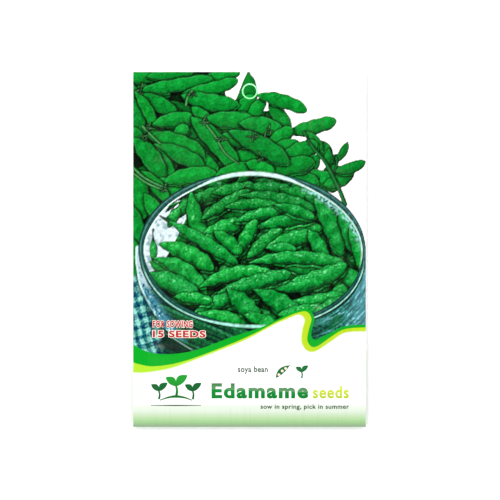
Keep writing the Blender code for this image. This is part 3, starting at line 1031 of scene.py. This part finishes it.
def layInk(name, shapes, material, layer=0):
    # flat shapes cut along the film's own grid so that they bend with it, thickened, and laid on it
    bm = bmesh.new()
    for points, faces in shapes:
        verts = [bm.verts.new((x, y, 0)) for x, y in points]
        for face in faces:
            bm.faces.new([verts[i] for i in face])
    bmesh.ops.remove_doubles(bm, verts=bm.verts[:], dist=inkLift["weld"])
    spots = np.array([v.co[:2] for v in bm.verts])
    rows = fineY[:lowCount].tolist() + fineY[lowCount::2].tolist()
    for axis, lines in enumerate((fineX[::2], rows)):
        normal, low, high = (1 - axis, axis, 0), spots[:, axis].min(), spots[:, axis].max()
        for line in (float(v) for v in lines if low < v < high):
            everything = bm.verts[:] + bm.edges[:] + bm.faces[:]
            spot, slack = (line * (1 - axis), line * axis, 0), inkLift["cutSlack"]
            bmesh.ops.bisect_plane(bm, geom=everything, plane_co=spot, plane_no=normal, dist=slack)
    bmesh.ops.triangulate(bm, faces=bm.faces[:])
    raised = bmesh.ops.extrude_face_region(bm, geom=bm.faces[:])["geom"]
    upper = [v for v in raised if isinstance(v, bmesh.types.BMVert)]
    bmesh.ops.translate(bm, verts=upper, vec=(0, 0, 1))
    bmesh.ops.recalc_face_normals(bm, faces=bm.faces[:])
    mesh = bpy.data.meshes.new(name)
    bm.to_mesh(mesh)
    bm.free()
    points = np.zeros(len(mesh.vertices) * 3, np.float32)
    mesh.vertices.foreach_get("co", points)
    x, y, up = points.reshape(-1, 3).T
    lift = inkLift["gap"] + layer * (inkLift["gap"] + inkLift["thickness"]) + up * inkLift["thickness"]
    mesh.vertices.foreach_set("co", np.stack([x, y, filmHeight(x, y) + lift], -1).ravel() * mm)
    mesh.materials.append(material)
    addPiece(name, mesh, "front_print")


def wordShape(word, bold):
    # the built-in letters, stretched to fill the word's box, and set apart by as much as they are thickened
    curve = bpy.data.curves.new("letters", "FONT")
    curve.body, curve.offset, curve.resolution_u = word["text"], word["bold"], 5
    curve.space_character = 1 + words["spread"] * word["bold"]
    holder = bpy.data.objects.new("letters", curve)
    bpy.context.scene.collection.objects.link(holder)
    plain = wordMesh(holder)[0]
    curve.offset = bold
    points, faces = wordMesh(holder)
    bpy.data.objects.remove(holder)
    low, high = plain.min(0), plain.max(0)
    left, right, bottom, top = word["box"]
    points = (points - low) / (high - low) * [right - left, top - bottom] + [left, bottom]
    return points, faces


def wordMesh(holder):
    bpy.context.view_layer.update()
    mesh = bpy.data.meshes.new_from_object(holder.evaluated_get(bpy.context.evaluated_depsgraph_get()))
    points = np.array([v.co[:2] for v in mesh.vertices])
    faces = [tuple(p.vertices) for p in mesh.polygons]
    bpy.data.meshes.remove(mesh)
    return points, faces


def leafShape(base, tip, width, bend=0.0, fullAt=0.9):
    # leaf from base to tip: half width is a sine arch to the power fullAt, middle line bows by bend
    base, tip = np.array(base, float), np.array(tip, float)
    along = tip - base
    across = np.array([-along[1], along[0]]) / np.linalg.norm(along)
    t = np.linspace(0, 1, 19)[:, None]
    middle = base + along * t + across * bend * np.sin(math.pi * t)
    half = across * width / 2 * np.sin(math.pi * t) ** fullAt
    points = np.vstack([middle + half, (middle - half)[-2:0:-1]])
    return points, [tuple(range(len(points)))]


def strokeShape(points, widths):
    # a line of changing width through the points
    line, w = strokeLine(points, widths)
    w = w[:, None] / 2
    run = np.gradient(line, axis=0)
    across = np.stack([-run[:, 1], run[:, 0]], -1) / np.linalg.norm(run, axis=1, keepdims=True)
    count = len(line)
    faces = [(i, i + 1, count + i + 1, count + i) for i in range(count - 1)]
    return np.vstack([line + across * w, line - across * w]), faces


def ringShape(centre, inner, outer, count=72):
    spots = np.stack(circle(count), -1)
    faces = [(i, (i + 1) % count, count + (i + 1) % count, count + i) for i in range(count)]
    return np.vstack([spots * inner + centre, spots * outer + centre]), faces


def discShape(centre, radius, count=36):
    return np.stack(circle(count), -1) * radius + centre, [tuple(range(count))]


titleGleam = {
    "fall": -0.035, "level": -55.7, "reach": 3.0, "pale": linear(92, 148, 96), "dull": linear(64, 118, 72),
}
# Inks: screen levels at the bottom and at the top, and the heights of those two on the packet.
inkRows = {
    "title_green_ink": ((10, 124, 44), (22, 140, 58), -59, -54, titleGleam),
    "lime_ink": ((178, 196, 24), (206, 222, 70), -59, -54),
    "dark_green_ink": ((14, 84, 36), (30, 108, 54), -62, -46),
    "grey_green_ink": ((44, 70, 50), (58, 82, 62), -63, -46),
    "red_ink": ((176, 34, 46), (192, 56, 64), -35, -28),
    "cream_ink": ((246, 226, 210), (252, 240, 228), -35, -28),
    "pale_green_ink": ((150, 246, 170), (176, 255, 194), 59, 66),
    "sprout_green_ink": ((16, 104, 34), (34, 150, 46), -60, -51),
}


def inkMaterial(name, low, high, bottom, top, gleam=None):
    # ink under the film's gloss: one colour rising into another, with a fine screen grain
    material, start, feed = newMaterial(name, printGloss)
    place = objectPlace(start)
    ink = start.blend(linear(*low), linear(*high), place.part("Y").step(bottom * mm, top * mm))
    if gleam:
        # a pale gleam above a line that falls from left to right
        line = place.part("Y") - place.part("X") * gleam["fall"] - gleam["level"] * mm
        shine = start.blend(gleam["pale"], gleam["dull"], line.step(0, gleam["reach"] * mm))
        ink = ink.tint(shine, line.step(-0.12 * mm, 0.12 * mm))
    ink = ink.tint((0, 0, 0), place.noise(2600.0, 3.0).step(0.5, 0.8) * 0.10)
    feed("Base Color", ink)
    feed("Roughness", place.noise(160.0, 2.0) * 0.10 + inkRoughness)
    return material


def sproutShapes(x, y, size):
    # a seedling with two leaves
    stalk = [(x, y), (x + 0.04 * size, y + 0.25 * size), (x, y + 0.5 * size)]
    return [
        strokeShape(stalk, [0.12 * size, 0.09 * size]),
        leafShape((x, y + 0.46 * size), (x - 0.46 * size, y + 0.86 * size), 0.34 * size, -0.06 * size),
        leafShape((x, y + 0.46 * size), (x + 0.50 * size, y + 0.96 * size), 0.36 * size, 0.07 * size),
    ]


print("stage: ink on the front")
inks = {name: inkMaterial(name, *row) for name, row in inkRows.items()}
layInk("hang_hole_ring", [ringShape((0.1, 62.6), 2.55, 3.12)], inks["pale_green_ink"])
for key, piece, ink in (
    ("title", "title_word", "title_green_ink"), ("titleEnd", "title_end_word", "lime_ink"),
    ("kind", "kind_word", "grey_green_ink"), ("motto", "motto_line", "grey_green_ink"),
):
    layInk(piece, [wordShape(words[key], words[key]["bold"])], inks[ink])
for key in ("useLine", "countLine"):
    layInk("cream_halo_" + key, [wordShape(words[key], words["haloBold"])], inks["cream_ink"])
    layInk("red_" + key, [wordShape(words[key], words[key]["bold"])], inks["red_ink"], 1)
podIcon = [leafShape((10.4, -50.6), (15.6, -45.8), 2.3, 0.5, 0.7)]
podIcon += [strokeShape([(15.2, -46.2), (15.9, -45.6)], [0.5, 0.3])]
layInk("pod_icon", podIcon, inks["dark_green_ink"])
beanDots = [discShape((11.6 + 1.32 * i, -49.35 + 1.22 * i + (0.25 if i == 1 else 0)), 0.55) for i in range(3)]
layInk("pod_icon_beans", beanDots, inks["cream_ink"], 1)
layInk("sprout_icon", sproutShapes(20.6, -50.8, 5.2), inks["dark_green_ink"])
moundLine = [(-35.4, -59.6), (-32.2, -58.5), (-29, -58.1), (-25.8, -58.5), (-22.6, -59.6)]
emblem = sproutShapes(-29, -58.2, 9.0) + [strokeShape(moundLine, [0.3, 1.1, 0.3])]
layInk("sprout_emblem", emblem, inks["sprout_green_ink"])
sideSprouts = sproutShapes(-35.8, -59.2, 6.8) + sproutShapes(-22.4, -59.2, 6.8)
layInk("side_sprouts", sideSprouts, inks["dark_green_ink"])
rule = strokeShape([(-39.0, -61.7), (-29, -61.7), (-19.2, -61.7)], [0.2, 0.45, 0.2])
layInk("emblem_rule", [rule], inks["grey_green_ink"])

print("stage: seal and beans")


bond = {
    "count": 96,            # points round the frame
    "roundness": 14,        # power of the inside's curve; a higher one has sharper corners
    "fromEdge": 0.12,
    "intoPouch": 0.3,
    "filmGap": 0.01,
}


def sealBond():
    # the fused layer: a frame with a rounded inside, its oblong section carried round the packet
    count, power = bond["count"], bond["roundness"]
    c, s = circle(count)
    square = 1 / np.maximum(np.abs(c), np.abs(s))
    rounded = (np.abs(c) ** power + np.abs(s) ** power) ** (-1 / power)
    middleY = (pouch["top"] + pouch["bottom"]) / 2
    outerHalf = [halfWide - bond["fromEdge"], halfHigh - bond["fromEdge"]]
    outer = np.stack([c * square, s * square], -1) * outerHalf
    innerX = c * rounded * (pouch["right"] - bond["intoPouch"])
    innerY = s * rounded * (pouch["top"] - pouch["bottom"] - 2 * bond["intoPouch"]) / 2 + middleY
    inner = np.stack([innerX, innerY], -1)
    low, high = backHigh[2] + bond["filmGap"], frontLow[2] - bond["filmGap"]
    rings = [(inner, low), (outer, low), (outer, high), (inner, high)]
    points = np.concatenate([np.column_stack([ring, np.full(count, z)]) for ring, z in rings])
    faces = []
    for k in range(4):
        for i in range(count):
            j = (i + 1) % count
            faces.append((k * count + i, k * count + j, (k + 1) % 4 * count + j, (k + 1) % 4 * count + i))
    mesh = closedMesh("fused_seal", points, faces)
    material, start, feed = newMaterial("fused_film", {"Specular IOR Level": 0.4})
    cloud = objectPlace(start).noise(500.0, 3.0)
    feed("Base Color", start.blend((0.86, 0.88, 0.85), (0.95, 0.96, 0.94), cloud))
    feed("Roughness", cloud * 0.2 + 0.35)
    mesh.materials.append(material)
    addPiece("fused_seal", mesh, "back_print")


bean = {
    "length": 8.8, "breadth": 7.8, "around": 48, "rings": 28,
    "hilumLong": 0.30, "hilumWide": 0.085,     # shares of the bean's half size
    "flatness": 0.12,       # of the side that carries the hilum
    "hilumDent": 0.035,
    "clear": 0.985,         # size, as a share of the CAD bean's
    "skin": linear(214, 196, 138), "skinDeep": linear(190, 172, 108), "hilum": linear(120, 92, 58),
}


def beanMaterial():
    material, start, feed = newMaterial("soybean_skin", {"Specular IOR Level": 0.45, "Coat Roughness": 0.3})
    place = objectPlace(start)
    mark = attribute(start, "hilum")
    skin = start.blend(bean["skinDeep"], bean["skin"], place.noise(380.0, 4.0))
    skin = skin.tint(bean["hilum"], mark.step(0.45, 0.7))
    skin = skin.tint(linear(226, 212, 168), mark.step(0.2, 0.45) * mark.step(0.6, 0.45) * 0.7)
    feed("Base Color", skin)
    feed("Roughness", place.noise(900.0, 3.0) * 0.2 + 0.36)
    feed("Normal", bump(start, place.noise(1500.0, 3.0), 0.03 * mm))
    return material


def addBeans():
    # a bean is an oval ball, flatter on the side that carries the hilum; u goes round, v from pole to pole
    u = np.arange(bean["around"]) * 2 * math.pi / bean["around"]
    v = np.linspace(0, math.pi, bean["rings"] + 1)[1:-1]
    gu, gv = np.meshgrid(u, v, indexing="ij")
    ball = np.stack([np.cos(gv), np.sin(gv) * np.cos(gu), np.sin(gv) * np.sin(gu)], -1)
    along, across = ball[..., 0] / bean["hilumLong"], ball[..., 2] / bean["hilumWide"] / 2
    scar = np.clip(1 - np.hypot(along, across) / 2, 0, 1)
    scar = scar * (ball[..., 1] > 0)
    flat = 1 - bean["flatness"] * np.clip(ball[..., 1], 0, 1) ** 2
    dent = 1 - bean["hilumDent"] * soft(scar, 0.3, 0.8)
    material = beanMaterial()
    columns, rows = ball.shape[:2]
    poles = np.array([[1, 0, 0], [-1, 0, 0]])
    index = np.arange(columns * rows).reshape(columns, rows)
    nextColumn = np.roll(index, -1, axis=0)
    quads = np.stack([index[:, :-1], index[:, 1:], nextColumn[:, 1:], nextColumn[:, :-1]], -1)
    faces = quads.reshape(-1, 4).tolist()
    faces += [(columns * rows, index[i, 0], nextColumn[i, 0]) for i in range(columns)]
    faces += [(columns * rows + 1, nextColumn[i, -1], index[i, -1]) for i in range(columns)]
    shaped = ball * np.stack([dent, flat * dent, dent], -1)
    unitPoints = np.concatenate([shaped.reshape(-1, 3), poles])
    marks = np.concatenate([scar.ravel(), [0, 0]]).astype(np.float32)
    longHalf, broadHalf = bean["length"] / 2, bean["breadth"] / 2
    for number, (name, (low, high)) in enumerate(zip(beanNames, beanBoxes)):
        half, middle = (high - low) / 2, (high + low) / 2
        share = np.clip((half[0] ** 2 - broadHalf ** 2) / (longHalf ** 2 - broadHalf ** 2), 0, 1)
        turn = math.acos(math.sqrt(share)) + math.pi * (number % 2)
        c, s = math.cos(turn), math.sin(turn)
        points = unitPoints * [longHalf, broadHalf, half[2]] * bean["clear"]
        points = points @ np.array([[c, s, 0], [-s, c, 0], [0, 0, 1]]) + middle
        mesh = bpy.data.meshes.new("seed_" + name)
        mesh.from_pydata(points * mm, [], faces)
        mesh.attributes.new("hilum", "FLOAT", "POINT").data.foreach_set("value", marks)
        mesh.materials.append(material)
        mesh.shade_smooth()
        addPiece("seed_" + name, mesh, "bean_skin", name)


sealBond()
addBeans()

studio = {
    "floor": 1.6,
    "floorGlow": 0.12,      # as a light table, which softens the shadow round the packet
    "shotWidth": 197.8,     # width of the view at the height of the seals
    "lens": 200.0,
    "sensor": 36.0,
    "shotCentre": (0.2, -0.2),
    "lampDistance": 1.2,
    "lampSize": 0.6,
    "lamps": [(135, 43, 8.2), (45, 41, 5.9), (-50, 41, 5.9), (-140, 41, 5.9)],   # azimuth, elevation, watts
    "zenith": 0.0,
    "horizon": 0.44,
}


def addFloor():
    mesh = bpy.data.meshes.new("studio_floor")
    half = studio["floor"]
    corners = [(-half, -half, 0), (half, -half, 0), (half, half, 0), (-half, half, 0)]
    mesh.from_pydata(corners, [], [(0, 1, 2, 3)])
    floor = bpy.data.objects.new("studio_floor", mesh)
    bpy.context.scene.collection.objects.link(floor)
    glow = {"Emission Color": (1, 1, 1, 1), "Emission Strength": studio["floorGlow"]}
    material, start, feed = newMaterial("studio_paper", {"Roughness": 0.9, "Specular IOR Level": 0.1, **glow})
    feed("Base Color", start.blend((0.93,) * 3, (0.94,) * 3, objectPlace(start).noise(30.0, 2.0)))
    mesh.materials.append(material)


def addLamps():
    for number, (azimuth, height, power) in enumerate(studio["lamps"], 1):
        lamp = bpy.data.lights.new(f"soft_box_{number}", "AREA")
        lamp.shape, lamp.size, lamp.energy = "DISK", studio["lampSize"], power
        holder = bpy.data.objects.new(lamp.name, lamp)
        turn, lift = math.radians(azimuth), math.radians(height)
        aim = Vector((math.cos(turn) * math.cos(lift), math.sin(turn) * math.cos(lift), math.sin(lift)))
        holder.location = aim * studio["lampDistance"]
        holder.rotation_euler = aim.to_track_quat("Z", "Y").to_euler()
        bpy.context.scene.collection.objects.link(holder)
    world = bpy.data.worlds.new("studio_room")
    bpy.context.scene.world = world
    world.use_nodes = True
    start = Wire(world.node_tree)
    up = start.make("ShaderNodeTexCoord", None, None, "Generated").part("Z")
    low, high = (studio["horizon"],) * 3, (studio["zenith"],) * 3
    room = start.make("ShaderNodeValToRGB", {"stops": [(0.45, low), (0.80, high)]}, {0: up})
    backdrop = world.node_tree.nodes["Background"]
    world.node_tree.links.new(room.socket, backdrop.inputs["Color"])


def addCamera():
    camera = bpy.data.cameras.new("camera")
    camera.lens, camera.sensor_width = studio["lens"], studio["sensor"]
    camera.clip_start = 0.01
    holder = bpy.data.objects.new("camera", camera)
    height = studio["lens"] / studio["sensor"] * studio["shotWidth"] + sealTop
    holder.location = (studio["shotCentre"][0] * mm, studio["shotCentre"][1] * mm, height * mm)
    bpy.context.scene.collection.objects.link(holder)
    bpy.context.scene.camera = holder


print("stage: studio")
addFloor()
addLamps()
addCamera()
bpy.context.scene.view_settings.view_transform = "Standard"
